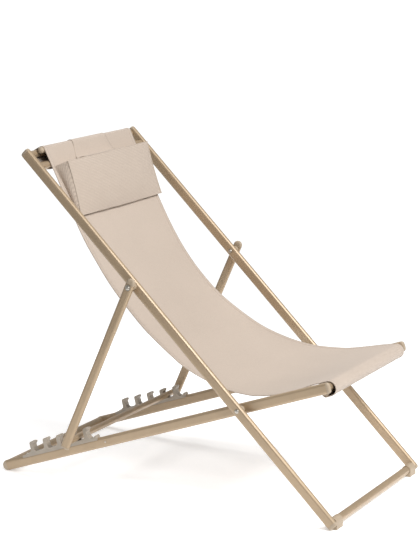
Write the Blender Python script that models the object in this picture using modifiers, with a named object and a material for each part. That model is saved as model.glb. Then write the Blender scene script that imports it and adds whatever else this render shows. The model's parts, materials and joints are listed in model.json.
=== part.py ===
"""Folding beach chair with a sling seat, a head pillow and a hooked back prop.

Metres, +Z up. The chair faces -Y, the side plane is Y-Z and X runs across the seat.
The back frame is the fixed body. The seat frame turns on the pivot bolts, the prop swings
on its own bolts near the top of the back rails, and the pillow flips on its top seam.
"""
import math

import bmesh
import bpy
import numpy as np
from mathutils import Matrix

# ---- driving dimensions -------------------------------------------------------------------
GAP = 0.0003                      # clearance between pieces that touch
RAIL_H = 0.030                    # flat-oval tube, measured in the side plane
RAIL_W = 0.015                    # flat-oval tube, measured across the chair
WALL = 0.0015                     # tube wall

BACK_TOP = np.array((0.4262, 0.9163))     # top tip of the back rails (y, z)
BACK_ANGLE = math.radians(44.08)          # back rails above the floor
BACK_LENGTH = 1.305
SEAT_REAR = np.array((0.5173, 0.0093))    # rear tip of the seat rails
SEAT_FRONT = np.array((-0.4766, 0.3724))  # front tip of the seat rails

BACK_X = 0.2900                   # tube centres from the middle of the chair
SEAT_X = 0.2613
PROP_X = 0.3203
SLING_HALF = 0.238                # half width of the sling
PILLOW_HALF = 0.219
STRAP_HALF = 0.090

PROP_HINGE = 0.4785               # down the back rail from its top tip
PROP_H = 0.026                    # prop leg tube, in the side plane
PROP_W = 0.014
PROP_ABOVE = 0.025                # leg above its hinge
PROP_REACH = 0.512                # leg below its hinge
PROP_BAR_R = 0.009

TOP_BAR = (0.0125, -0.0045, 0.0100)       # down the rail, in front of it, radius
TOP_ROD = (0.0170, 0.0146, 0.0090)
LOWER_BAR = (0.0560, -0.0020, 0.0110)
FOOT_BAR_R = 0.0115
FOOT_BAR_UP = 0.0135              # foot bar centre, up the rail from its bottom tip
FRONT_BAR = (0.0150, 0.0000, 0.0110)      # behind the seat front, above the rail line, radius
FRONT_ROD = (0.0300, -0.0164, 0.0080)
FRONT_LOOP = (0.0165, -0.0065, 0.0183)    # inner face of the sling's front loop
REAR_BAR_R = 0.0140

CLOTH = 0.0024                    # sling thickness
STRAP = 0.0016
SLING_PROFILE = [                 # top face of the free sling (y, z), top to front
    (0.3404, 0.8130), (0.2848, 0.7099), (0.2327, 0.6221), (0.1705, 0.5426), (0.0894, 0.4632),
    (-0.0036, 0.3974), (-0.0739, 0.3635), (-0.1490, 0.3408), (-0.2241, 0.3297),
    (-0.2991, 0.3359), (-0.3739, 0.3548), (-0.4238, 0.3712),
]
SLING_SPLIT = 6                   # the profile point where back half and seat half meet

PILLOW_SEAM = np.array((0.3377, 0.8890))  # top front seam, the pillow's hinge line
PILLOW_OUTLINE = [(0.3372, 0.8892), (0.2921, 0.7413), (0.3042, 0.7498), (0.3681, 0.8723)]

HOOKS = 5                         # hooks on each rack
HOOK_FIRST = 0.112                # rear edge of the first one, along the seat rail
HOOK_PITCH = 0.0458
HOOK_THROAT = 0.0113              # front face of a hook, from its rear edge
HOOK_TOP = 0.050                  # above the rail's centre line
HOOK_IN_USE = 3                   # the hook that the prop bar leans on, counted from 0
RACK_W = 0.020
RACK_SKIRT = 0.0095               # rack's lower edge above the rail's centre line
RACK_FLOOR = 0.0205
RACK_REAR = 0.079
RACK_TOE = 0.334
RACK_SCREWS = (0.0920, 0.3175)    # along the seat rail
SEAT_RIVET = 0.3560

PIVOT_R = 0.0030                  # bolt shafts
HOLE_R = 0.0034

BACK_DOWN = -np.array((math.cos(BACK_ANGLE), math.sin(BACK_ANGLE)))
BACK_OUT = np.array((BACK_DOWN[1], -BACK_DOWN[0]))
SEAT_FORE = (SEAT_FRONT - SEAT_REAR) / np.linalg.norm(SEAT_FRONT - SEAT_REAR)
SEAT_UP = np.array((SEAT_FORE[1], -SEAT_FORE[0]))
SEAT_LENGTH = float(np.linalg.norm(SEAT_FRONT - SEAT_REAR))
SIDES = (("right", -1.0), ("left", 1.0))


# ---- places in the side plane -------------------------------------------------------------
def on_back(down, out=0.0):
    return BACK_TOP + down * BACK_DOWN + out * BACK_OUT


def on_seat(fore, up=0.0):
    return SEAT_REAR + fore * SEAT_FORE + up * SEAT_UP


def from_front(back, up=0.0):
    return on_seat(SEAT_LENGTH - back, up)


def crossing():
    """Where the centre lines of the back rail and the seat rail cross."""
    steps = np.linalg.solve(np.column_stack((BACK_DOWN, -SEAT_FORE)), SEAT_REAR - BACK_TOP)
    return on_back(steps[0])


PIVOT = crossing()
HINGE = on_back(PROP_HINGE)
BAR_FORE = HOOK_FIRST + HOOK_IN_USE * HOOK_PITCH + HOOK_THROAT + GAP + PROP_BAR_R
PROP_BAR = on_seat(BAR_FORE, RACK_FLOOR + GAP + PROP_BAR_R)
PROP_DOWN = (PROP_BAR - HINGE) / np.linalg.norm(PROP_BAR - HINGE)
PROP_BAR_DOWN = float(np.linalg.norm(PROP_BAR - HINGE))


def on_prop(down):
    return HINGE + down * PROP_DOWN


def across(x, point):
    """Local X, Y, Z become world Y, Z, X: for what is drawn in the side plane."""
    frame = Matrix(((0, 0, 1, x), (1, 0, 0, point[0]), (0, 1, 0, point[1]), (0, 0, 0, 1)))
    return frame


def along(x, point, way):
    """Local Z runs along a direction of the side plane, local Y along world X."""
    side = (-way[1], way[0])
    return Matrix(((0, 1, 0, x), (side[0], 0, way[0], point[0]),
                   (side[1], 0, way[1], point[1]), (0, 0, 0, 1)))


def outward(x, point, sign):
    """Local Z runs away from the middle of the chair."""
    return Matrix(((0, 0, sign, x), (sign, 0, 0, point[0]), (0, 1, 0, point[1]), (0, 0, 0, 1)))


# ---- outlines -----------------------------------------------------------------------------
def belt(circles, closed=False, step=math.pi / 10):
    """A tight belt anticlockwise around circles (centre, radius), arcs joined by tangents."""
    circles = [(np.array(centre, float), radius) for centre, radius in circles]
    count = len(circles)
    normals = []
    for k in range(count if closed else count - 1):
        (start, r_start), (end, r_end) = circles[k], circles[(k + 1) % count]
        span = end - start
        length = np.linalg.norm(span)
        lean = (r_start - r_end) / length
        ahead = span / length
        normals.append(ahead * lean + np.array((ahead[1], -ahead[0])) * math.sqrt(1 - lean**2))
    points = []
    for k, (centre, radius) in enumerate(circles):
        if radius == 0:
            points.append(centre)
            continue
        before, after = normals[k - 1], normals[k]
        turn_from = math.atan2(before[1], before[0])
        turn = (math.atan2(after[1], after[0]) - turn_from) % (2 * math.pi)
        pieces = max(1, math.ceil(turn / step))
        for i in range(pieces + 1):
            angle = turn_from + turn * i / pieces
            points.append(centre + radius * np.array((math.cos(angle), math.sin(angle))))
    return points


def disc(radius, sides=20):
    turns = [2 * math.pi * k / sides for k in range(sides)]
    return [(radius * math.cos(t), radius * math.sin(t)) for t in turns]


def oval(height, width, step=math.pi / 6):
    """A flat oval, its long way along local X."""
    radius = width / 2
    reach = height / 2 - radius
    return belt([((reach, 0), radius), ((-reach, 0), radius)], closed=True, step=step)


def rounded(points, radius, pieces=3):
    """A closed outline whose corners become arcs. A point may carry its own radius."""
    outline = []
    count = len(points)
    for k in range(count):
        here = np.array(points[k][:2], float)
        size = points[k][2] if len(points[k]) > 2 else radius
        before = np.array(points[k - 1][:2], float) - here
        after = np.array(points[(k + 1) % count][:2], float) - here
        room = min(np.linalg.norm(before), np.linalg.norm(after)) * 0.49
        before, after = before / np.linalg.norm(before), after / np.linalg.norm(after)
        half = math.acos(max(-1.0, min(1.0, float(before @ after)))) / 2
        cut = min(size / math.tan(half), room)
        if cut < 1e-5:
            outline.append(here)
            continue
        for i in range(pieces + 1):
            t = i / pieces
            ends = here + before * cut * (1 - t) ** 2 + after * cut * t**2
            outline.append(ends)
    return outline


def smooth(points, pieces=4):
    """A Catmull-Rom curve through points."""
    knots = [2 * points[0] - points[1], *points, 2 * points[-1] - points[-2]]
    curve = []
    for a, b, c, d in zip(knots, knots[1:], knots[2:], knots[3:]):
        for i in range(pieces):
            t = i / pieces
            curve.append(0.5 * (2 * b + (c - a) * t + (2 * a - 5 * b + 4 * c - d) * t**2
                                + (3 * b - a - 3 * c + d) * t**3))
    curve.append(points[-1])
    return curve


def ribbon(path, thickness):
    """The closed outline of a strip that follows a path."""
    path = np.array(path)
    ahead = np.gradient(path, axis=0)
    ahead /= np.linalg.norm(ahead, axis=1)[:, None]
    out = np.column_stack((ahead[:, 1], -ahead[:, 0])) * thickness / 2
    return [*(path + out), *(path - out)[::-1]]


# ---- objects ------------------------------------------------------------------------------
def clear_scene():
    for item in list(bpy.data.objects):
        bpy.data.objects.remove(item, do_unlink=True)


def new_collection(name):
    group = bpy.data.collections.new(name)
    bpy.context.scene.collection.children.link(group)
    return group


clear_scene()
CHAIR = new_collection("beach_chair")
CUTTERS = new_collection("cutters")


def material(name, colour, roughness, metallic=0.0):
    made = bpy.data.materials.new(name)
    made.use_nodes = True
    shader = made.node_tree.nodes["Principled BSDF"]
    shader.inputs["Base Color"].default_value = (*colour, 1)
    shader.inputs["Roughness"].default_value = roughness
    shader.inputs["Metallic"].default_value = metallic
    made.diffuse_color = (*colour, 1)
    return made


PAINT = material("powder_coat", (0.46, 0.37, 0.26), 0.5)
PLASTIC = material("cap_plastic", (0.47, 0.40, 0.31), 0.55)
RACK_PLASTIC = material("rack_plastic", (0.42, 0.37, 0.31), 0.5)
STEEL = material("zinc_steel", (0.55, 0.52, 0.47), 0.35, 1.0)
CLOTH_MATERIAL = material("sling_cloth", (0.62, 0.51, 0.42), 0.9)
PAD_MATERIAL = material("pillow_cloth", (0.60, 0.49, 0.40), 0.9)


def pivot_empty(name, point):
    empty = bpy.data.objects.new(name, None)
    empty.empty_display_size = 0.05
    empty.location = (0, *point)
    CHAIR.objects.link(empty)
    return empty


SEAT_FRAME = pivot_empty("seat_fold_axis", PIVOT)
PROP = pivot_empty("prop_swing_axis", HINGE)
PILLOW = pivot_empty("pillow_flip_axis", PILLOW_SEAM)


def add(name, mesh, matrix, finish, body=None):
    mesh.shade_smooth()
    mesh.set_sharp_from_angle(angle=math.radians(35))
    item = bpy.data.objects.new(name, mesh)
    CHAIR.objects.link(item)
    item.data.materials.append(finish)
    if body:
        item.parent = body
        item.matrix_parent_inverse = Matrix.Translation(-body.location)
    item.matrix_basis = matrix
    return item


def prism_mesh(loops, depth):
    """A flat outline, with any holes, made solid to both sides of its plane."""
    curve = bpy.data.curves.new("outline", "CURVE")
    curve.dimensions = "2D"
    curve.fill_mode = "BOTH"
    curve.extrude = depth / 2
    for loop in loops:
        spline = curve.splines.new("POLY")
        spline.points.add(len(loop) - 1)
        for point, (u, v) in zip(spline.points, loop):
            point.co = (u, v, 0, 1)
        spline.use_cyclic_u = True
    guide = bpy.data.objects.new("outline", curve)
    CUTTERS.objects.link(guide)
    graph = bpy.context.evaluated_depsgraph_get()
    mesh = bpy.data.meshes.new_from_object(guide.evaluated_get(graph))
    bpy.data.objects.remove(guide)
    bpy.data.curves.remove(curve)
    work = bmesh.new()
    work.from_mesh(mesh)
    bmesh.ops.remove_doubles(work, verts=work.verts, dist=0.00001)
    bmesh.ops.recalc_face_normals(work, faces=work.faces)
    work.to_mesh(mesh)
    work.free()
    return mesh


def loft_mesh(sections):
    """A closed solid through flat sections (outline, height), all with as many points."""
    work = bmesh.new()
    rings = [[work.verts.new((u, v, height)) for u, v in outline] for outline, height in sections]
    count = len(rings[0])
    for low, high in zip(rings, rings[1:]):
        for i in range(count):
            j = (i + 1) % count
            work.faces.new((low[i], low[j], high[j], high[i]))
    work.faces.new(rings[0])
    work.faces.new(rings[-1])
    bmesh.ops.recalc_face_normals(work, faces=work.faces)
    mesh = bpy.data.meshes.new("loft")
    work.to_mesh(mesh)
    work.free()
    return mesh


def turned(name, profile, matrix, finish, body=None, steps=16):
    """A profile (radius, height), listed top to bottom, turned about local Z."""
    mesh = bpy.data.meshes.new(name)
    points = [(radius, 0, height) for radius, height in profile]
    mesh.from_pydata(points, [(k, k + 1) for k in range(len(points) - 1)], [])
    item = add(name, mesh, matrix, finish, body)
    screw = item.modifiers.new("turn", "SCREW")
    screw.steps = steps
    screw.render_steps = steps
    screw.use_merge_vertices = True
    screw.merge_threshold = 0.00001
    screw.use_smooth_shade = True
    return item


def cut(item, mesh, matrix):
    """Take a cutter's shape out of an object."""
    tool = bpy.data.objects.new(item.name + "_cutter", mesh)
    CUTTERS.objects.link(tool)
    tool.matrix_world = matrix
    tool.hide_render = True
    tool.display_type = "WIRE"
    boolean = item.modifiers.new("cut", "BOOLEAN")
    boolean.operation = "DIFFERENCE"
    boolean.object = tool
    return tool


def bore(item, x, point, radius, length=0.06):
    """A round hole across the chair."""
    cut(item, prism_mesh([disc(radius, 16)], length), across(x, point))


def oval_tube(name, x, start, end, size, finish, body=None):
    height, width = size
    loops = [oval(height, width), oval(height - 2 * WALL, width - 2 * WALL)]
    way = (end - start) / np.linalg.norm(end - start)
    mesh = prism_mesh(loops, float(np.linalg.norm(end - start)))
    return add(name, mesh, along(x, (start + end) / 2, way), finish, body)


def cross_tube(name, centre, radius, half, body=None, middle=0.0):
    mesh = prism_mesh([disc(radius), disc(radius - WALL)], 2 * half)
    return add(name, mesh, across(middle, centre), PAINT, body)


def tube_cap(name, x, face, way, size, straight, dome, plug, finish, body=None):
    """A push-in tube cap. face is the tube's end, way points out of the tube."""
    height, width = size
    slack = 2 * (WALL + GAP)
    inner = oval(height - slack, width - slack)
    outer = oval(height, width)
    sections = [(inner, -plug), (inner, GAP), (outer, GAP)]
    for k in range(1, 5):
        angle = k * math.radians(19)
        rise = straight + dome * math.sin(angle)
        wide, thick = math.cos(angle), math.cos(angle) ** 0.55
        if dome < height / 2:
            wide = 1 - (dome / (height / 2)) * (1 - wide)
        sections.append(([(u * wide, v * thick) for u, v in outer], rise))
    if straight > GAP:
        sections.insert(3, (outer, straight))
    return add(name, loft_mesh(sections), along(x, face, way), finish, body)


# ---- back frame ---------------------------------------------------------------------------
RAIL_CAP = 0.010                  # how far a rail's caps stand past its tube
REAR_CAP = 0.016                  # the seat rails' rear feet, a half-round end


def back_rails():
    for side, sign in SIDES:
        x = sign * BACK_X
        rail = oval_tube("back_rail_" + side, x, on_back(RAIL_CAP), on_back(BACK_LENGTH - RAIL_CAP),
                         (RAIL_H, RAIL_W), PAINT)
        bore(rail, x, HINGE, HOLE_R)
        bore(rail, x, PIVOT, HOLE_R)
        size = (RAIL_H, RAIL_W)
        tube_cap("rail_top_cap_" + side, x, on_back(RAIL_CAP), -BACK_DOWN, size,
                 0.003, 0.0067, 0.018, PLASTIC)
        tube_cap("rail_foot_cap_" + side, x, on_back(BACK_LENGTH - RAIL_CAP), BACK_DOWN, size,
                 0.002, 0.0077, 0.018, PLASTIC)


def back_bars():
    half = BACK_X - RAIL_W / 2 - GAP
    for name, (down, out, radius) in (("top_bar", TOP_BAR), ("lower_top_bar", LOWER_BAR)):
        cross_tube(name, on_back(down, out), radius, half)
    down, out, radius = TOP_ROD
    reach = SLING_HALF + 0.012
    dome = [(radius * math.sin(t), reach - radius + radius * math.cos(t))
            for t in np.linspace(0, math.pi / 2, 5)]
    profile = [*dome, *[(r, -h) for r, h in reversed(dome)]]
    turned("sling_rod_top", profile, across(0, on_back(down, out)), PLASTIC)


def foot_bar():
    """The front floor bar, and the pads that lift its ends and the rails off the floor."""
    centre = on_back(BACK_LENGTH - FOOT_BAR_UP)
    half = BACK_X - RAIL_W / 2 - GAP
    cross_tube("foot_bar", centre, FOOT_BAR_R, half)
    wall, sole = 0.0018, 0.0015
    corners = [(centre[0] - 0.0125, sole), (centre[0] + 0.0110, sole)]
    outer = belt([(corners[0], sole), (corners[1], sole), (centre, FOOT_BAR_R + wall)], closed=True)
    inner = [centre + np.array(p) for p in disc(FOOT_BAR_R + GAP + 0.0001)]
    for side, sign in SIDES:
        middle = sign * (half - 0.0205)
        add("foot_pad_" + side, prism_mesh([outer, inner], 0.040), across(middle, (0, 0)), PLASTIC)


def bolt(name, x, point, sign, head, length, body=None):
    """A button-head bolt from the outer face at x, inward."""
    radius, rise = head
    crown = [(radius * math.sin(t), rise * (0.3 + 0.7 * math.cos(t)))
             for t in np.linspace(0, math.pi / 2, 4)]
    profile = [*crown, (radius, 0), (PIVOT_R, 0), (PIVOT_R, -length), (0, -length)]
    turned(name, profile, outward(x, point, sign), STEEL, body)


def cap_nut(name, x, point, sign):
    """A domed nut on the bolt's inner end, its open face at x towards the outside."""
    radius, hole, depth = 0.0055, PIVOT_R + GAP, 0.0045
    crown = [(radius * math.cos(t), -depth - 0.0022 * math.sin(t))
             for t in np.linspace(0, math.pi / 2, 4)]
    crown[-1] = (0.0, crown[-1][1])
    profile = [(0, -depth + 0.0012), (hole, -depth + 0.0012), (hole, 0), (radius, 0), *crown]
    turned(name, profile, outward(x, point, sign), STEEL)


def pivots():
    """Bolts, spacers and nuts of the seat pivot and of the prop's hinge."""
    rail_out, rail_in = BACK_X + RAIL_W / 2, BACK_X - RAIL_W / 2
    seat_out, seat_in = SEAT_X + RAIL_W / 2, SEAT_X - RAIL_W / 2
    prop_out, prop_in = PROP_X + PROP_W / 2, PROP_X - PROP_W / 2
    joints = (
        ("pivot", PIVOT, rail_out, (seat_out, rail_in), seat_in, (0.0060, 0.0026), 0.0),
        ("prop", HINGE, prop_out, (rail_out, prop_in), rail_in, (0.0055, 0.0026), 0.0012),
    )
    for name, point, face, gap_between, inner_face, head, washer in joints:
        for side, sign in SIDES:
            start = face + GAP + (washer + GAP if washer else 0)
            end = inner_face - GAP - 0.0030
            bolt(f"{name}_bolt_{side}", sign * start, point, sign, head, start - end)
            cap_nut(f"{name}_nut_{side}", sign * (inner_face - GAP), point, sign)
            low, high = gap_between
            ring = [disc(0.0100), disc(HOLE_R)]
            add(f"{name}_spacer_{side}", prism_mesh(ring, high - low - 2 * GAP),
                across(sign * (low + high) / 2, point), PLASTIC)
            if washer:
                add(f"{name}_washer_{side}", prism_mesh([disc(0.0080), disc(HOLE_R)], washer),
                    across(sign * (face + GAP + washer / 2), point), STEEL)


# ---- seat frame ---------------------------------------------------------------------------
def seat_rails():
    for side, sign in SIDES:
        x = sign * SEAT_X
        size = (RAIL_H, RAIL_W)
        rail = oval_tube("seat_rail_" + side, x, on_seat(REAR_CAP), from_front(RAIL_CAP),
                         size, PAINT, SEAT_FRAME)
        bore(rail, x, PIVOT, HOLE_R)
        for fore in RACK_SCREWS:
            hole = across(x, on_seat(fore, RAIL_H / 2))
            turn = Matrix.Rotation(math.atan2(SEAT_UP[1], SEAT_UP[0]), 4, "Z")
            stand = Matrix.Rotation(math.pi / 2, 4, "Y")
            cut(rail, prism_mesh([disc(0.0023, 12)], 0.012), hole @ turn @ stand)
        tube_cap("seat_front_cap_" + side, x, from_front(RAIL_CAP), SEAT_FORE, size,
                 0.002, 0.0077, 0.018, PLASTIC, SEAT_FRAME)
        foot = tube_cap("rear_foot_" + side, x, on_seat(REAR_CAP), -SEAT_FORE, size,
                        0.002, 0.0142, 0.020, PLASTIC, SEAT_FRAME)
        mark = on_seat(SEAT_RIVET)
        face = x + sign * RAIL_W / 2
        cut(rail, prism_mesh([disc(0.0019, 12)], 0.006), across(face, mark))
        crown = [(0, 0.0012), (0.0018, 0.0010), (0.0028, GAP), (0.0016, GAP), (0.0016, -0.004),
                 (0, -0.004)]
        turned("seat_rivet_" + side, crown, outward(face, mark, sign), STEEL, SEAT_FRAME, 12)
        block = [(-0.06, -0.04), (0.06, -0.04), (0.06, 0.0), (-0.06, 0.0)]
        cut(foot, prism_mesh([block], 0.06), across(x, (SEAT_REAR[0], 0)))


def seat_bars():
    half = SEAT_X - RAIL_W / 2 - GAP
    back, up, radius = FRONT_BAR
    cross_tube("front_bar", from_front(back, up), radius, half, SEAT_FRAME)
    cross_tube("rear_bar", on_seat(REAR_BAR_R + 0.001), REAR_BAR_R, half, SEAT_FRAME)
    back, up, radius = FRONT_ROD
    edge = 0.001
    profile = [(0, SLING_HALF), (radius - edge, SLING_HALF), (radius, SLING_HALF - edge),
               (radius, edge - SLING_HALF), (radius - edge, -SLING_HALF), (0, -SLING_HALF)]
    turned("sling_rod_front", profile, across(0, from_front(back, up)), PLASTIC, SEAT_FRAME)


def hook(rear):
    """One hook of the rack, from its rear foot to the notch floor in front of it."""
    low, top, throat = RACK_FLOOR, HOOK_TOP, rear + HOOK_THROAT
    return [
        (rear - 0.0090, low, 0.003), (rear + 0.0002, low + 0.0050, 0.004),
        (rear + 0.0020, top - 0.0030, 0.003), (rear + 0.0060, top, 0.003),
        (rear + 0.0150, top - 0.0002, 0.003), (rear + 0.0178, top - 0.0035, 0.0015),
        (rear + 0.0152, top - 0.0072, 0.001), (throat + 0.0002, top - 0.0100, 0.004),
        (throat, low + 0.0055, 0.003), (throat + 0.0037, low, 0.003),
    ]


def racks():
    """The hook strips that the prop bar drops into, one on each seat rail."""
    outline = [(RACK_REAR, RACK_SKIRT, 0.001), (RACK_REAR, 0.0165, 0.001),
               (RACK_REAR + 0.022, 0.0180, 0.004)]
    for k in range(HOOKS):
        outline += hook(HOOK_FIRST + HOOK_PITCH * k)
    outline += [(RACK_TOE - 0.0225, 0.0180, 0.002), (RACK_TOE - 0.008, 0.0180, 0.002),
                (RACK_TOE - 0.005, 0.0235, 0.001), (RACK_TOE - 0.0005, 0.0225, 0.001),
                (RACK_TOE, RACK_SKIRT, 0.001)]
    drawn = [on_seat(fore, up) for fore, up in rounded(outline, 0.002)]
    for side, sign in SIDES:
        x = sign * SEAT_X
        rack = add("rack_" + side, prism_mesh([drawn], RACK_W), across(x, (0, 0)), RACK_PLASTIC,
                   SEAT_FRAME)
        seat = oval(RAIL_H + 2 * GAP, RAIL_W + 2 * GAP)
        middle = on_seat((RACK_REAR + RACK_TOE) / 2)
        cut(rack, prism_mesh([seat], 0.4), along(x, middle, SEAT_FORE))
        for number, fore in enumerate(RACK_SCREWS, 1):
            place = along(x, on_seat(fore, 0.0180), SEAT_UP)
            cut(rack, prism_mesh([disc(0.0023, 12)], 0.02), place)
            profile = [(0, 0.0018), (0.0024, 0.0016), (0.0036, 0.0008), (0.0038, GAP),
                       (0.0020, GAP), (0.0020, -0.0080), (0, -0.0100)]
            turned(f"rack_screw_{side}_{number}", profile, place, STEEL, SEAT_FRAME, 12)


# ---- prop ---------------------------------------------------------------------------------
def prop():
    """The U-shaped prop: two legs outside the back rails and a bar that sits in the racks.

    The bar and the racks are where the chair's closed loop is opened, so the bar is left out
    over the width of each rack: a middle length and an end length on each leg.
    """
    rack_side = RACK_W / 2 + GAP
    reach = PROP_X - PROP_W / 2 - GAP
    size = (PROP_H, PROP_W)
    head, tail = 0.016, 0.007
    for side, sign in SIDES:
        x = sign * PROP_X
        top, foot = on_prop(head - PROP_ABOVE), on_prop(PROP_REACH - tail)
        leg = oval_tube("prop_leg_" + side, x, top, foot, size, PAINT, PROP)
        bore(leg, x, HINGE, HOLE_R)
        tube_cap("prop_top_cap_" + side, x, top, -PROP_DOWN, size, 0.004, 0.0122, 0.0045,
                 PLASTIC, PROP)
        tube_cap("prop_foot_cap_" + side, x, foot, PROP_DOWN, size, 0.002, 0.0050, 0.014,
                 PLASTIC, PROP)
        inner = SEAT_X + rack_side
        cross_tube("prop_bar_end_" + side, PROP_BAR, PROP_BAR_R, (reach - inner) / 2, PROP,
                   sign * (reach + inner) / 2)
    cross_tube("prop_bar", PROP_BAR, PROP_BAR_R, SEAT_X - rack_side, PROP)


# ---- sling and pillow ---------------------------------------------------------------------
def around(spot, offset, place):
    """A belt circle around a bar given as (along, off, radius)."""
    down, out, radius = spot
    return place(down, out), radius + offset


def sling():
    """One cloth, cut where it crosses the pivot line so that each half moves with its frame."""
    half = CLOTH / 2
    free = [np.array(p) - half * np.array((0, 1)) for p in SLING_PROFILE]
    clear = GAP + half
    start = on_back(LOWER_BAR[0] + 0.0137, -0.0020)
    top = belt([(start, 0), around(LOWER_BAR, clear, on_back), around(TOP_BAR, clear, on_back),
                around(TOP_ROD, clear, on_back), (free[0], 0)])
    loop_end = from_front(0.0475, 0.0122)
    front = belt([(free[-1], 0), around(FRONT_LOOP, half, from_front),
                  around(FRONT_ROD, clear + 0.0002, from_front), (loop_end, 0)])
    back_path = [*top[:-1], *smooth([top[-2], *free[:SLING_SPLIT + 1]])[1:]]
    seat_path = [*smooth([*free[SLING_SPLIT:], front[1]]), *front[2:]]
    seat_path[0] = seat_path[0] + np.array((-0.001, -0.0004))
    width = 2 * SLING_HALF
    add("sling_back", prism_mesh([ribbon(back_path, CLOTH)], width), across(0, (0, 0)),
        CLOTH_MATERIAL)
    add("sling_seat", prism_mesh([ribbon(seat_path, CLOTH)], width), across(0, (0, 0)),
        CLOTH_MATERIAL, SEAT_FRAME)


def pillow():
    """The head pillow and the strap that runs from its top seam over the top bar."""
    outline = [p - PILLOW_SEAM for p in rounded(PILLOW_OUTLINE, 0.007)]
    add("head_pillow", prism_mesh([outline], 2 * PILLOW_HALF), across(0, PILLOW_SEAM),
        PAD_MATERIAL, PILLOW)
    offset = CLOTH + STRAP / 2 + 2 * GAP
    path = belt([(on_back(0.060, -0.0200), 0), around(TOP_BAR, offset, on_back),
                 around(TOP_ROD, offset, on_back), (PILLOW_SEAM + np.array((0.004, 0.0030)), 0)])
    add("pillow_strap", prism_mesh([ribbon(path, STRAP)], 2 * STRAP_HALF), across(0, (0, 0)),
        CLOTH_MATERIAL)


back_rails()
back_bars()
foot_bar()
pivots()
seat_rails()
seat_bars()
racks()
prop()
sling()
pillow()
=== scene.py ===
"""Folding beach chair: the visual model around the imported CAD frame. Metres, +Z up."""
import json
import math

import bmesh
import bpy
import numpy as np
from mathutils import Matrix, Vector, noise

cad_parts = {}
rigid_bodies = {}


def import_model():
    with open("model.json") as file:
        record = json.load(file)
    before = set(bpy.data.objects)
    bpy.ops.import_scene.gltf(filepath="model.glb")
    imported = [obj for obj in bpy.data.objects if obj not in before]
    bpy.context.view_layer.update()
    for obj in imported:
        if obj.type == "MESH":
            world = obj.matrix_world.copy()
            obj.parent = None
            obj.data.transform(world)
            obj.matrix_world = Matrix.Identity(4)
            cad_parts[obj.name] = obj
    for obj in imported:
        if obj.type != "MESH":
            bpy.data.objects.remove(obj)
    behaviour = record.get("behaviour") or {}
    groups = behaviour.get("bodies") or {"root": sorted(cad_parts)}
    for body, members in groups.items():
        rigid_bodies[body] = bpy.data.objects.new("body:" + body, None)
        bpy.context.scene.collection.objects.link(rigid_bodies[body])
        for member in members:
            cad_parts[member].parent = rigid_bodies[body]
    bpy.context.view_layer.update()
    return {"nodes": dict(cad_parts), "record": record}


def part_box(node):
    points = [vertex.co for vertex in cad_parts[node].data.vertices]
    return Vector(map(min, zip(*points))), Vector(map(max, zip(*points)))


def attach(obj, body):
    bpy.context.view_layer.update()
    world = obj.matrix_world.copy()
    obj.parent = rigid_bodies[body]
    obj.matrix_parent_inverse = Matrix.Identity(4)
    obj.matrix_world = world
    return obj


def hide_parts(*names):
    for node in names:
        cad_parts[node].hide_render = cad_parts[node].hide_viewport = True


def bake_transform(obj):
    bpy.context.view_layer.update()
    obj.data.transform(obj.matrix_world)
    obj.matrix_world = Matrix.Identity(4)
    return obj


for old in list(bpy.data.objects):
    bpy.data.objects.remove(old, do_unlink=True)
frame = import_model()
NODES = frame["nodes"]

# ---- sizes --------------------------------------------------------------------------------
GAP = 0.0003                      # clearance between pieces that touch
SLING_HALF = 0.238                # half width of the sling over its hems
SLING_THICK = 0.0011
SELVEDGE = 0.0012                 # from the cloth's own edge to the outside of the hem
HEM_WIDTH = 0.013
HEM_THICK = 0.0021
SEAM_SETBACKS = (0.0022, HEM_WIDTH - 0.0018)    # the hem's two seams, from its outside
# The free sling in the side plane (y, z), top to front: right edge and left edge. These points
# were worked out outside this script, from the outline of the sling in the photograph.
SLING_RIGHT = [(0.3380, 0.8105), (0.2760, 0.6920), (0.2335, 0.6275), (0.1880, 0.5660),
               (0.1330, 0.5060), (0.0718, 0.4474), (-0.0037, 0.3900), (-0.0469, 0.3623),
               (-0.1051, 0.3377), (-0.1702, 0.3192), (-0.2223, 0.3136), (-0.2642, 0.3150),
               (-0.3261, 0.3284), (-0.3820, 0.3499), (-0.4218, 0.3672)]
SLING_LEFT = [(0.3440, 0.8160), (0.2929, 0.7206), (0.2554, 0.6529), (0.2109, 0.5863),
              (0.1544, 0.5207), (0.0819, 0.4573), (-0.0186, 0.3971), (-0.0878, 0.3696),
              (-0.1560, 0.3535), (-0.2180, 0.3465), (-0.2970, 0.3492), (-0.3389, 0.3555),
              (-0.3819, 0.3649), (-0.4238, 0.3742)]
SLING_START = np.array((-0.0105, -0.0105))      # the sling's first edge, from the lower bar
SLING_END = np.array((0.0330, 0.0000))          # its last edge, from the front bar
LOOP_SHIFT, LOOP_R = np.array((-0.0008, -0.0056)), 0.0195    # the open loop round the front bar
ROD_SLACK = 0.0004                # between the front rod and the cloth, beyond the gap
SECTION_POINTS = (56, 120, 44)    # over the top bars, free, and round the front bar
SLING_COLUMNS, HEM_COLUMNS = 41, 5
FREE_FROM, FREE_SPAN = 0.25, 0.55    # the rows that sag, as shares of them all
SAG, SAG_BACK, RIPPLE = 0.0075, 0.35, 0.0016    # depth, its share to the rear, height of ripples
STRAP_THICK = 0.0011
STRAP_ROWS, STRAP_COLUMNS = 110, 33
STRAP_HALF = 0.086                # half width over the bars
STRAP_FLARE = 0.124               # half width at the pillow's seam
FLARE_FROM, FLARE_POWER = 0.36, 1.7    # where the strap starts to widen, and how gently
STRAP_START = np.array((0.0010, -0.0420))       # its first edge, from the top bar
STRAP_CLEAR = 0.0016              # above the pillow's top face
STRAP_SEAM, STRAP_EDGE_R = 0.0035, 0.0010       # seam from the side, and radius of the bound side
STRAP_LIFT = 0.2                  # how far it spans the hollow between sling and pillow, 0 to 1
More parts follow.
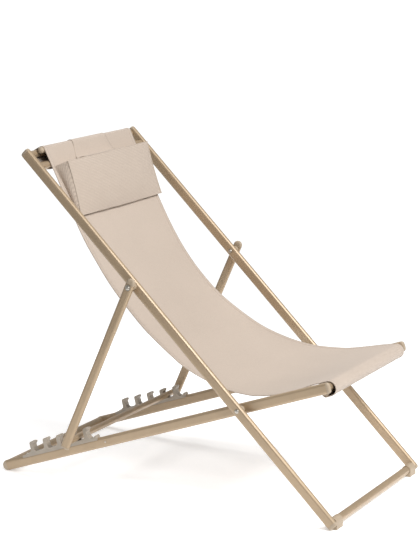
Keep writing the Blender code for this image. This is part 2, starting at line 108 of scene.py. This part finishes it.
PILLOW_CORNERS = ((0.3350, 0.8880), (0.2921, 0.7413), (0.3062, 0.7465), (0.3681, 0.8723))
PILLOW_RIGHT, PILLOW_LEFT = -0.214, 0.231   # the two sides at the top seam
PILLOW_SPREAD = 0.012             # how much further the left side reaches at the bottom
GUSSET_SPREAD = 0.013             # how much wider the pillow is at its back than at its front
PILLOW_CROWN, PILLOW_HOLLOW = 0.0110, 0.0015    # the front swells and the back sinks in
PILLOW_DOWN = np.array((-0.29, -0.957))         # the way the bottom face bulges
PILLOW_BULGE = 0.0040
PILLOW_LIFT, PILLOW_DROOP = 0.0035, 0.0015      # of the top left corner and the bottom's middle
SIDE_PULL, GUSSET_BULGE = 0.0045, 0.0055        # the sides draw in at the seams and swell between
CREASE = 0.0012                   # height of the cover's creases
PIPING_R = 0.0017


# ---- side-plane geometry ------------------------------------------------------------------
def bar(node):
    """Centre (y, z) and radius of a bar that runs across the chair."""
    low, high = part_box(node)
    return np.array(((low[1] + high[1]) / 2, (low[2] + high[2]) / 2)), (high[2] - low[2]) / 2


def belt(circles, step=math.pi / 14):
    """A path wound anticlockwise round circles (centre, radius), joined by tangents."""
    circles = [(np.array(centre, float), radius) for centre, radius in circles]
    normals = []
    for (start, r_start), (end, r_end) in zip(circles, circles[1:]):
        span = end - start
        length = np.linalg.norm(span)
        lean = (r_start - r_end) / length
        ahead = span / length
        normals.append(ahead * lean + np.array((ahead[1], -ahead[0])) * math.sqrt(1 - lean**2))
    points = [circles[0][0]]
    for k, (centre, radius) in enumerate(circles[1:-1], 1):
        before, after = normals[k - 1], normals[k]
        turn_from = math.atan2(before[1], before[0])
        turn = (math.atan2(after[1], after[0]) - turn_from) % (2 * math.pi)
        pieces = max(2, math.ceil(turn / step))
        for i in range(pieces + 1):
            angle = turn_from + turn * i / pieces
            points.append(centre + radius * np.array((math.cos(angle), math.sin(angle))))
    points.append(circles[-1][0])
    return points


def smooth(points, pieces=10):
    """A Catmull-Rom curve through points."""
    points = [np.array(p, float) for p in points]
    knots = [2 * points[0] - points[1], *points, 2 * points[-1] - points[-2]]
    curve = []
    for a, b, c, d in zip(knots, knots[1:], knots[2:], knots[3:]):
        for i in range(pieces):
            t = i / pieces
            curve.append(0.5 * (2 * b + (c - a) * t + (2 * a - 5 * b + 4 * c - d) * t**2
                                + (3 * b - a - 3 * c + d) * t**3))
    curve.append(points[-1])
    return curve


def resample(path, count):
    """The same path with evenly spaced points, and its length."""
    path = np.array(path)
    run = np.concatenate(([0], np.cumsum(np.linalg.norm(np.diff(path, axis=0), axis=1))))
    at = np.linspace(0, run[-1], count)
    return np.column_stack([np.interp(at, run, path[:, k]) for k in range(path.shape[1])]), run[-1]


# ---- mesh helpers -------------------------------------------------------------------------
def new_object(name, vertices, faces, finish, uvs=None):
    """A smooth mesh object with one finish, and a cloth map where uvs are given."""
    mesh = bpy.data.meshes.new(name)
    mesh.from_pydata([tuple(v) for v in vertices], [], faces)
    mesh.materials.append(finish)
    if uvs is not None:
        layer = mesh.uv_layers.new(name="cloth")
        index = np.zeros(len(mesh.loops), int)
        mesh.loops.foreach_get("vertex_index", index)
        layer.data.foreach_set("uv", np.array(uvs, np.float32)[index].ravel())
    mesh.shade_smooth()
    item = bpy.data.objects.new(name, mesh)
    bpy.context.scene.collection.objects.link(item)
    return item


def sheet_mesh(name, rows, finish, thickness, uvs):
    """A grid of points (row, column, xyz) as a sheet with a thickness."""
    rows = np.array(rows)
    count, width = rows.shape[:2]
    faces = [(i * width + j, i * width + j + 1, (i + 1) * width + j + 1, (i + 1) * width + j)
             for i in range(count - 1) for j in range(width - 1)]
    item = new_object(name, rows.reshape(-1, 3), faces, finish, np.array(uvs).reshape(-1, 2))
    solid = item.modifiers.new("thickness", "SOLIDIFY")
    solid.thickness = thickness
    solid.offset = 0.0
    return item


def tube(name, points, radius, finish, resolution=3):
    """A round cord along points."""
    curve = bpy.data.curves.new(name, "CURVE")
    curve.dimensions = "3D"
    curve.bevel_depth = radius
    curve.bevel_resolution = resolution
    curve.use_fill_caps = True
    spline = curve.splines.new("POLY")
    spline.points.add(len(points) - 1)
    for point, place in zip(spline.points, points):
        point.co = (*place, 1)
    curve.materials.append(finish)
    item = bpy.data.objects.new(name, curve)
    bpy.context.scene.collection.objects.link(item)
    return item


STITCH_LENGTH, STITCH_PITCH, STITCH_R = 0.0030, 0.0044, 0.00032
STITCH_SIDES, ROW_SAMPLES = 5, 400
STITCH_RINGS = ((0.45, -0.6), (1.0, 0.5), (0.45, -0.6))    # width and height: end, middle, end


def stitch_row(points, normals):
    """Vertices and faces of a row of short threads that lie on a surface."""
    path, total = resample(points, ROW_SAMPLES)
    ups = spread(normals, ROW_SAMPLES)
    run = np.linspace(0, total, ROW_SAMPLES)
    sides = STITCH_SIDES
    vertices, faces = [], []
    at = STITCH_PITCH / 2
    while at < total:
        ends = [np.array([np.interp(at + d, run, path[:, k]) for k in range(3)])
                for d in (-STITCH_LENGTH / 2, STITCH_LENGTH / 2)]
        up = np.array([np.interp(at, run, ups[:, k]) for k in range(3)])
        up /= np.linalg.norm(up)
        ahead = (ends[1] - ends[0]) / max(np.linalg.norm(ends[1] - ends[0]), 1e-9)
        side = np.cross(ahead, up)
        base = len(vertices)
        middle = (ends[0] + ends[1]) / 2
        for spot, (wide, lift) in zip((ends[0], middle, ends[1]), STITCH_RINGS):
            for k in range(sides):
                angle = 2 * math.pi * k / sides
                outward = math.cos(angle) * side + math.sin(angle) * up
                vertices.append(spot + STITCH_R * (wide * outward + lift * up))
        for first in (base, base + sides):
            for k in range(sides):
                a, b = first + k, first + (k + 1) % sides
                faces.append((a, b, b + sides, a + sides))
        faces.append(tuple(base + k for k in reversed(range(sides))))
        faces.append(tuple(base + 2 * sides + k for k in range(sides)))
        at += STITCH_PITCH
    return vertices, faces


def spread(values, count):
    """The same list of vectors with count entries."""
    values = np.array(values, float)
    at = np.linspace(0, len(values) - 1, count)
    steps = np.arange(len(values))
    return np.column_stack([np.interp(at, steps, values[:, k]) for k in range(3)])


def stitches(name, rows, finish):
    """One object with several stitch rows, each a list of points and their normals."""
    vertices, faces = [], []
    for points, normals in rows:
        more, cells = stitch_row(points, normals)
        faces += [tuple(i + len(vertices) for i in cell) for cell in cells]
        vertices += more
    return new_object(name, vertices, faces, finish)


# ---- materials ----------------------------------------------------------------------------
class Nodes:
    """A material's node tree with short ways to add and join nodes."""

    def __init__(self, name, colour, roughness, metallic=0.0):
        self.material = bpy.data.materials.new(name)
        self.material.use_nodes = True
        self.tree = self.material.node_tree
        self.shader = self.tree.nodes["Principled BSDF"]
        self.shader.inputs["Base Color"].default_value = (*colour, 1)
        self.shader.inputs["Roughness"].default_value = roughness
        self.shader.inputs["Metallic"].default_value = metallic

    def add(self, kind, **values):
        """A node, with its properties and inputs set by name."""
        node = self.tree.nodes.new("ShaderNode" + kind)
        for key, value in values.items():
            if hasattr(node, key):
                setattr(node, key, value)
            else:
                node.inputs[key.replace("_", " ")].default_value = value
        return node

    def join(self, source, target):
        """A link between two sockets."""
        self.tree.links.new(source, target)

    def math(self, operation, a, b=None):
        """A math node on sockets or numbers."""
        node = self.add("Math", operation=operation)
        for slot, value in ((0, a), (1, b)):
            if value is None:
                continue
            if isinstance(value, (int, float)):
                node.inputs[slot].default_value = value
            else:
                self.join(value, node.inputs[slot])
        return node.outputs[0]

    def ramp(self, source, stops):
        """A colour ramp with stops (place, colour)."""
        node = self.add("ValToRGB")
        elements = node.color_ramp.elements
        while len(elements) < len(stops):
            elements.new(0.5)
        for element, (place, colour) in zip(elements, stops):
            element.position = place
            element.color = (*colour, 1)
        self.join(source, node.inputs["Fac"])
        return node.outputs["Color"]

    def noise(self, vector, scale, detail=3.0, roughness=0.5):
        """A noise texture."""
        node = self.add("TexNoise", Scale=scale, Detail=detail, Roughness=roughness)
        self.join(vector, node.inputs["Vector"])
        return node.outputs["Fac"]

    def bump(self, height, strength, distance, before=None):
        """A bump, on top of an earlier one where given."""
        node = self.add("Bump", Strength=strength, Distance=distance)
        self.join(height, node.inputs["Height"])
        if before is not None:
            self.join(before, node.inputs["Normal"])
        return node.outputs["Normal"]

    def finish(self, colour=None, roughness=None, normal=None):
        """The material, with its shader fed by what is given."""
        for source, target in ((colour, "Base Color"), (roughness, "Roughness"),
                               (normal, "Normal")):
            if source is not None:
                self.join(source, self.shader.inputs[target])
        return self.material


def shade(colour, factor):
    """A lighter or darker version of a colour."""
    return tuple(min(1.0, c * factor) for c in colour)


def painted(name, colour):
    """Satin powder coat: fine orange peel, slight cloudiness and a few scuffs."""
    m = Nodes(name, colour, 0.36, 0.35)
    m.shader.inputs["Coat Weight"].default_value = 0.25
    m.shader.inputs["Coat Roughness"].default_value = 0.25
    place = m.add("TexCoord").outputs["Object"]
    cloud = m.noise(place, 9.0, 4.0, 0.6)
    speck = m.noise(place, 1400.0, 2.0, 0.7)
    scuff = m.noise(place, 60.0, 6.0, 0.75)
    mixed = m.math("ADD", m.math("MULTIPLY", cloud, 0.75), m.math("MULTIPLY", speck, 0.25))
    tint = m.ramp(mixed, [(0.30, shade(colour, 0.90)), (0.52, colour), (0.75, shade(colour, 1.08))])
    rough = m.math("ADD", m.math("MULTIPLY", scuff, 0.22), 0.25)
    peel = m.bump(m.noise(place, 900.0, 2.0), 0.05, 0.0002)
    return m.finish(tint, rough, m.bump(cloud, 0.03, 0.001, peel))


def moulded(name, colour, roughness=0.5):
    """Moulded plastic with a fine spark-eroded grain."""
    m = Nodes(name, colour, roughness)
    place = m.add("TexCoord").outputs["Object"]
    grain = m.noise(place, 1600.0, 3.0, 0.6)
    flow = m.noise(place, 25.0, 3.0)
    tint = m.ramp(flow, [(0.30, shade(colour, 0.88)), (0.70, shade(colour, 1.08))])
    rough = m.math("ADD", m.math("MULTIPLY", grain, 0.25), roughness - 0.12)
    return m.finish(tint, rough, m.bump(grain, 0.22, 0.0003))


def plated(name, colour):
    """Dull zinc plate with a fine grain and light tarnish."""
    m = Nodes(name, colour, 0.34, 1.0)
    place = m.add("TexCoord").outputs["Object"]
    tarnish = m.noise(place, 220.0, 5.0, 0.7)
    tint = m.ramp(tarnish, [(0.35, shade(colour, 0.62)), (0.65, shade(colour, 1.15))])
    rough = m.math("ADD", m.math("MULTIPLY", tarnish, 0.3), 0.2)
    return m.finish(tint, rough, m.bump(m.noise(place, 1800.0, 2.0), 0.12, 0.0002))


def woven(name, colour, pitch, diagonal=False, uv=True, depth=0.00022, contrast=0.10):
    """Cloth with warp and weft threads that pass over and under each other.

    The weave follows the sheet's own cloth map (uv) or else the object's coordinates.
    """
    m = Nodes(name, colour, 0.86)
    m.shader.inputs["Sheen Weight"].default_value = 0.18
    m.shader.inputs["Sheen Roughness"].default_value = 0.5
    m.shader.inputs["Specular IOR Level"].default_value = 0.25
    coordinates = m.add("TexCoord")
    source = m.add("UVMap", uv_map="cloth").outputs["UV"] if uv else coordinates.outputs["Object"]
    split = m.add("SeparateXYZ")
    m.join(source, split.inputs[0])
    across, along = split.outputs["X"], split.outputs["Y" if uv else "Z"]
    if not uv:
        across = m.math("ADD", across, split.outputs["Y"])
    if diagonal:
        across, along = m.math("ADD", across, along), m.math("SUBTRACT", along, across)
    turn = 2 * math.pi / pitch
    warp = m.math("SINE", m.math("MULTIPLY", across, turn))
    weft = m.math("SINE", m.math("MULTIPLY", along, turn))
    weave = m.math("MULTIPLY", warp, weft)
    fibre = m.noise(coordinates.outputs["Object"], 2600.0, 2.0, 0.8)
    cloud = m.noise(coordinates.outputs["Object"], 6.0, 3.0, 0.55)
    slub = m.noise(coordinates.outputs["Object"], 170.0, 3.0, 0.6)
    height = m.math("ADD", m.math("MULTIPLY", weave, 0.5), m.math("MULTIPLY", fibre, 0.5))
    tone = m.math("ADD", m.math("MULTIPLY", weave, contrast),
                  m.math("ADD", m.math("MULTIPLY", cloud, 0.22), m.math("MULTIPLY", slub, 0.22)))
    tone = m.math("ADD", tone, m.math("MULTIPLY", fibre, 0.16))
    tint = m.ramp(tone, [(0.05, shade(colour, 0.84)), (0.30, colour), (0.60, shade(colour, 1.10))])
    soft = m.bump(slub, 0.15, 0.0006)
    return m.finish(tint, None, m.bump(height, 0.55, depth, soft))


PAINT = painted("powder_coat", (0.415, 0.308, 0.198))
CAP = moulded("cap_plastic", (0.400, 0.318, 0.228))
RACK = moulded("rack_plastic", (0.385, 0.335, 0.275), 0.46)
ZINC = plated("zinc_steel", (0.58, 0.54, 0.48))
SLING_CLOTH = woven("sling_cloth", (0.492, 0.410, 0.342), 0.0018)
HEM_CLOTH = woven("hem_cloth", (0.492, 0.410, 0.342), 0.0018)
PILLOW_CLOTH = woven("pillow_cloth", (0.484, 0.402, 0.333), 0.0076, diagonal=True, uv=False,
                     depth=0.00100, contrast=0.42)
PIPING_CLOTH = woven("piping_cloth", (0.470, 0.395, 0.325), 0.0014, uv=False, depth=0.00025)
THREAD = woven("thread", (0.480, 0.405, 0.335), 0.0006, diagonal=True, uv=False, depth=0.0001)
FINISHES = {"powder_coat": PAINT, "cap_plastic": CAP, "rack_plastic": RACK, "zinc_steel": ZINC,
            "sling_cloth": SLING_CLOTH, "pillow_cloth": PILLOW_CLOTH}

for part in frame["record"]["subparts"]:
    node = NODES[part["node"]]
    if not node.material_slots:
        node.data.materials.append(FINISHES[part["material_slot"]])
    for spot in node.material_slots:
        spot.material = FINISHES[part["material_slot"]]


def belongs(item, body, replaced=()):
    """Put a piece on its body, and hide the nodes it stands for."""
    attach(item, body)
    if replaced:
        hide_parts(*replaced)


# ---- the prop bar, whole ------------------------------------------------------------------
def prop_bar():
    """One bar from leg to leg, where the CAD has three lengths with the racks left free."""
    centre, radius = bar("prop_bar")
    left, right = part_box("prop_bar_end_left"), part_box("prop_bar_end_right")
    steps = np.linspace(right[0][0], left[1][0], 9)
    item = tube("prop_cross_bar", [(x, *centre) for x in steps], radius, PAINT, 8)
    belongs(item, "prop",
            replaced=("prop_bar", "prop_bar_end_left", "prop_bar_end_right"))


# ---- sling --------------------------------------------------------------------------------
TOP, TOP_R = bar("top_bar")
ROD, ROD_R = bar("sling_rod_top")
LOWER, LOWER_R = bar("lower_top_bar")
FRONT, _ = bar("front_bar")
FRONT_ROD, FRONT_ROD_R = bar("sling_rod_front")


def sling_path(free):
    """One edge of the sling, from its end behind the lower bar to its end in the front hem."""
    clear = SLING_THICK / 2 + GAP
    top = belt([(LOWER + SLING_START, 0), (LOWER, LOWER_R + clear), (TOP, TOP_R + clear),
                (ROD, ROD_R + clear), (free[0], 0)])
    front = belt([(free[-1], 0), (FRONT + LOOP_SHIFT, LOOP_R),
                  (FRONT_ROD, FRONT_ROD_R + clear + ROD_SLACK), (FRONT + SLING_END, 0)])
    middle = smooth([top[-2], *free, front[1]])
    path, length = [], 0.0
    for points, count in zip((top[:-1], middle, front[1:]), SECTION_POINTS):
        even, run = resample(points, count)
        path.append(even if not path else even[1:])
        length += run
    return np.concatenate(path), length


def sling_surface(columns):
    """Rows of points along the sling and columns across it, with cloth coordinates."""
    right, right_length = sling_path(SLING_RIGHT)
    left, left_length = sling_path(SLING_LEFT)
    length = (right_length + left_length) / 2
    count = len(right)
    rows, uvs = [], []
    for i in range(count):
        share = i / (count - 1)
        free = math.sin(math.pi * min(1, max(0, (share - FREE_FROM) / FREE_SPAN))) ** 2
        row, marks = [], []
        for u in columns:
            t = (u + 1) / 2
            y, z = right[i] * (1 - t) + left[i] * t
            sag = SAG * (1 - u * u) * free
            ripple = free * RIPPLE * noise.noise(Vector((u * 2.2, share * 7.0, 3.7)))
            row.append((u * SLING_HALF, y + SAG_BACK * sag, z - sag + ripple))
            marks.append((u * SLING_HALF, share * length))
        rows.append(row)
        uvs.append(marks)
    return np.array(rows), np.array(uvs), length


def normals_of(rows, column):
    """Unit normals along one column of a grid, on the side away from the floor."""
    along = np.gradient(rows[:, column], axis=0)
    across = rows[:, min(column + 1, rows.shape[1] - 1)] - rows[:, max(column - 1, 0)]
    out = np.cross(across, along)
    out /= np.linalg.norm(out, axis=1)[:, None]
    return out


def sling():
    """The cloth, a hem along each side, and the hems' seams on both faces."""
    inner = SLING_HALF - SELVEDGE
    columns = [x / SLING_HALF for x in np.linspace(-inner, inner, SLING_COLUMNS)]
    rows, uvs, length = sling_surface(columns)
    cloth = sheet_mesh("sling", rows, SLING_CLOTH, SLING_THICK, uvs)
    pieces = [cloth]
    threads = []
    for side, sign in (("left", 1), ("right", -1)):
        edge = sorted(sign * (SLING_HALF - d) / SLING_HALF
                      for d in np.linspace(HEM_WIDTH, 0.0, HEM_COLUMNS))
        strip, marks, _ = sling_surface(edge)
        pieces.append(sheet_mesh("sling_hem_" + side, strip, HEM_CLOTH, HEM_THICK, marks))
        for setback in SEAM_SETBACKS:
            u = sign * (SLING_HALF - setback) / SLING_HALF
            line, _, _ = sling_surface([u - 0.004, u, u + 0.004])
            up = normals_of(line, 1)
            threads.append((line[:, 1] + up * HEM_THICK / 2, up))
            threads.append((line[:, 1] - up * HEM_THICK / 2, -up))
    pieces.append(stitches("sling_stitching", threads, THREAD))
    for item in pieces:
        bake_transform(item)
    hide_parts("sling_back", "sling_seat")


# ---- pillow strap -------------------------------------------------------------------------
def strap_path():
    """From behind the top bar, over both bars and forward to the pillow's seam."""
    clear = SLING_THICK + STRAP_THICK / 2 + 3 * GAP
    front_top, _, _, rear_top = [np.array(p) for p in PILLOW_CORNERS]
    over = np.array((front_top[1] - rear_top[1], rear_top[0] - front_top[0]))
    over *= STRAP_CLEAR / np.linalg.norm(over)
    valley = rear_top + over + STRAP_LIFT * (0.5 * (ROD + front_top) - rear_top)
    wound = belt([(TOP + STRAP_START, 0), (TOP, TOP_R + clear), (ROD, ROD_R + clear),
                  (valley + 0.3 * (ROD - valley), 0)])
    laid = smooth([wound[-2], wound[-1], valley, front_top + 0.4 * (valley - front_top) + over,
                   front_top + over], 8)
    return resample(wound[:-1] + laid[1:], STRAP_ROWS)


def strap():
    """The band that holds the pillow, wider towards the seam, with bound and sewn sides."""
    path, length = strap_path()
    across = np.linspace(-1, 1, STRAP_COLUMNS)
    rows, uvs = [], []
    for i, (y, z) in enumerate(path):
        share = i / (len(path) - 1)
        flare = max(0.0, (share - FLARE_FROM) / (1 - FLARE_FROM)) ** FLARE_POWER
        half = STRAP_HALF + (STRAP_FLARE - STRAP_HALF) * flare
        rows.append([(u * half, y, z) for u in across])
        uvs.append([(u * half, share * length) for u in across])
    rows = np.array(rows)
    band = sheet_mesh("pillow_strap_band", rows, SLING_CLOTH, STRAP_THICK, uvs)
    threads = []
    for sign, column in ((1, -1), (-1, 0)):
        up = normals_of(rows, len(rows[0]) - 2 if sign > 0 else 1)
        line = rows[:, column].copy()
        line[:, 0] -= sign * STRAP_SEAM
        threads.append((line + up * STRAP_THICK / 2, up))
    sewn = stitches("pillow_strap_stitching", threads, THREAD)
    edges = [tube("pillow_strap_edge_" + side, rows[:, column], STRAP_EDGE_R, PIPING_CLOTH)
             for side, column in (("left", -1), ("right", 0))]
    for item in (band, sewn, *edges):
        belongs(item, "back_frame")
    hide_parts("pillow_strap")


# ---- pillow -------------------------------------------------------------------------------
def pillow_point(a, b, c):
    """A point of the pillow: a across, b bottom to top, c front to rear, each -1 to 1."""
    front_top, front_low, rear_low, rear_top = [np.array(p) for p in PILLOW_CORNERS]
    t, s = (b + 1) / 2, (c + 1) / 2
    front = front_low * (1 - t) + front_top * t
    rear = rear_low * (1 - t) + rear_top * t
    out = (front - rear) / np.linalg.norm(front - rear)
    spot = front * (1 - s) + rear * s
    middle, half = (PILLOW_LEFT + PILLOW_RIGHT) / 2, (PILLOW_LEFT - PILLOW_RIGHT) / 2
    crown = (1 - abs(a) ** 3.2) * (1 - abs(b) ** 2.6)
    swell = -c * 0.5 + 0.5
    spot = spot + out * crown * (PILLOW_CROWN * swell - PILLOW_HOLLOW * (1 - swell))
    low = max(0.0, -b)
    spot = spot + PILLOW_DOWN * low ** 6 * PILLOW_BULGE * (1 - c * c) * (1 - abs(a) ** 4)
    lift = PILLOW_LIFT * max(0.0, a) * t - PILLOW_DROOP * (1 - a * a) * low ** 3
    pull = SIDE_PULL * (1 - b * b) - GUSSET_BULGE * (1 - c * c) * (1 - b * b)
    x = middle + a * (half - pull * abs(a) ** 3)
    x += PILLOW_SPREAD * (1 - t) * max(0.0, a) + GUSSET_SPREAD * a * s * (0.15 + 0.85 * t)
    crease = noise.noise(Vector((a * 5.0, b * 2.6, c * 0.7 + 5.1))) * (1 - abs(a) ** 8)
    spot = spot + out * CREASE * crease * swell
    return (x, spot[0], spot[1] + lift)


def pillow():
    """The cover as six faces joined at their edges, with its piping and seams."""
    grids = []
    fine, medium, coarse = np.linspace(-1, 1, 97), np.linspace(-1, 1, 37), np.linspace(-1, 1, 11)
    for c in (-1, 1):
        grids.append([[pillow_point(a, b, c) for a in fine] for b in medium])
    for b in (-1, 1):
        grids.append([[pillow_point(a, b, c) for a in fine] for c in coarse])
    for a in (-1, 1):
        grids.append([[pillow_point(a, b, c) for b in medium] for c in coarse])
    vertices, faces = [], []
    for grid in grids:
        base, width = len(vertices), len(grid[0])
        vertices += [point for row in grid for point in row]
        faces += [(base + i * width + j, base + i * width + j + 1,
                   base + (i + 1) * width + j + 1, base + (i + 1) * width + j)
                  for i in range(len(grid) - 1) for j in range(width - 1)]
    body = new_object("head_pillow_cover", vertices, faces, PILLOW_CLOTH)
    work = bmesh.new()
    work.from_mesh(body.data)
    bmesh.ops.remove_doubles(work, verts=work.verts, dist=0.00005)
    bmesh.ops.recalc_face_normals(work, faces=work.faces)
    work.to_mesh(body.data)
    work.free()
    body.data.shade_smooth()
    body.data.set_sharp_from_angle(angle=math.radians(50))
    belongs(body, "pillow", replaced=("head_pillow",))
    for side, a in (("left", 1), ("right", -1)):
        for name, c, radius in (("piping", -1, PIPING_R), ("rear_seam", 1, PIPING_R * 0.55)):
            line = [pillow_point(a, b, c) for b in np.linspace(-1, 1, 41)]
            belongs(tube("pillow_%s_%s" % (name, side), line, radius, PIPING_CLOTH), "pillow")
    top = [pillow_point(a, 1, -1) for a in np.linspace(-1, 1, 61)]
    belongs(tube("pillow_top_seam", top, PIPING_R * 0.5, PILLOW_CLOTH), "pillow")


# ---- floor, light and camera --------------------------------------------------------------
AMBIENT, BACKDROP = 0.36, 1.1     # the world's strength as a light, and as the camera sees it
FLOOR_RADIUS, FLOOR_SIDES, FLOOR_Z = 1.7, 96, -0.0005
FLOOR_GLOW = 0.35
LAMP_AIM = Vector((0, 0, 0.45))
# name, place, size and power
LAMPS = (("key", (-0.4, -3.0, 3.5), 1.5, 150.0), ("fill", (-2.2, -2.2, 3.6), 1.0, 55.0),
         ("rim", (1.6, 2.6, 3.2), 1.6, 60.0))


def studio():
    """A pale floor disc, a plain world and three area lamps."""
    floor_finish = bpy.data.materials.new("floor")
    floor_finish.use_nodes = True
    shader = floor_finish.node_tree.nodes["Principled BSDF"]
    shader.inputs["Emission Color"].default_value = (1, 1, 1, 1)
    shader.inputs["Emission Strength"].default_value = FLOOR_GLOW
    shader.inputs["Base Color"].default_value = (0.96, 0.96, 0.96, 1)
    shader.inputs["Roughness"].default_value = 0.9
    turns = np.linspace(0, 2 * math.pi, FLOOR_SIDES, endpoint=False)
    rim = [(FLOOR_RADIUS * math.cos(t), FLOOR_RADIUS * math.sin(t), FLOOR_Z) for t in turns]
    floor = new_object("floor", rim, [tuple(range(FLOOR_SIDES))], floor_finish)
    world = bpy.data.worlds.new("studio")
    world.use_nodes = True
    tree = world.node_tree
    backdrop = tree.nodes["Background"]
    backdrop.inputs["Color"].default_value = (1.0, 1.0, 1.0, 1)
    seen = tree.nodes.new("ShaderNodeLightPath").outputs["Is Camera Ray"]
    strength = tree.nodes.new("ShaderNodeMapRange")
    strength.inputs["To Min"].default_value = AMBIENT
    strength.inputs["To Max"].default_value = BACKDROP
    tree.links.new(seen, strength.inputs["Value"])
    tree.links.new(strength.outputs["Result"], backdrop.inputs["Strength"])
    bpy.context.scene.world = world
    for name, place, size, power in LAMPS:
        lamp = bpy.data.lights.new(name, "AREA")
        lamp.size = size
        lamp.energy = power
        item = bpy.data.objects.new(name, lamp)
        item.location = place
        aim = LAMP_AIM - Vector(place)
        item.rotation_euler = aim.to_track_quat("-Z", "Y").to_euler()
        bpy.context.scene.collection.objects.link(item)
    bpy.context.scene.view_settings.view_transform = "Standard"


# the camera was solved outside this script, from the chair's straight tubes in the photograph
CAMERA_PLACE = Vector((-4.6620, -2.3486, 1.6346))
AZIMUTH, ELEVATION, ROLL = math.radians(-63.084), math.radians(12.069), math.radians(0.876)
SENSOR, LENS = 36.0, 126.19672    # mm, over the picture's height
SHIFT = (0.00693989, 0.03380692)  # of the picture's centre, in picture heights


def camera():
    """At the photograph's viewing angle."""
    look = Vector((-math.sin(AZIMUTH) * math.cos(ELEVATION),
                   math.cos(AZIMUTH) * math.cos(ELEVATION), -math.sin(ELEVATION)))
    right = Vector((math.cos(AZIMUTH), math.sin(AZIMUTH), 0))
    up = right.cross(look)
    right, up = (math.cos(ROLL) * right + math.sin(ROLL) * up,
                 math.cos(ROLL) * up - math.sin(ROLL) * right)
    lens = bpy.data.cameras.new("camera")
    lens.sensor_fit = "VERTICAL"
    lens.sensor_height = SENSOR
    lens.lens = LENS
    lens.shift_x, lens.shift_y = SHIFT
    item = bpy.data.objects.new("camera", lens)
    bpy.context.scene.collection.objects.link(item)
    turn = [(*(axis[k] for axis in (right, up, -look)), CAMERA_PLACE[k]) for k in range(3)]
    item.matrix_world = Matrix((*turn, (0, 0, 0, 1)))
    bpy.context.scene.camera = item


prop_bar()
sling()
strap()
pillow()
studio()
camera()
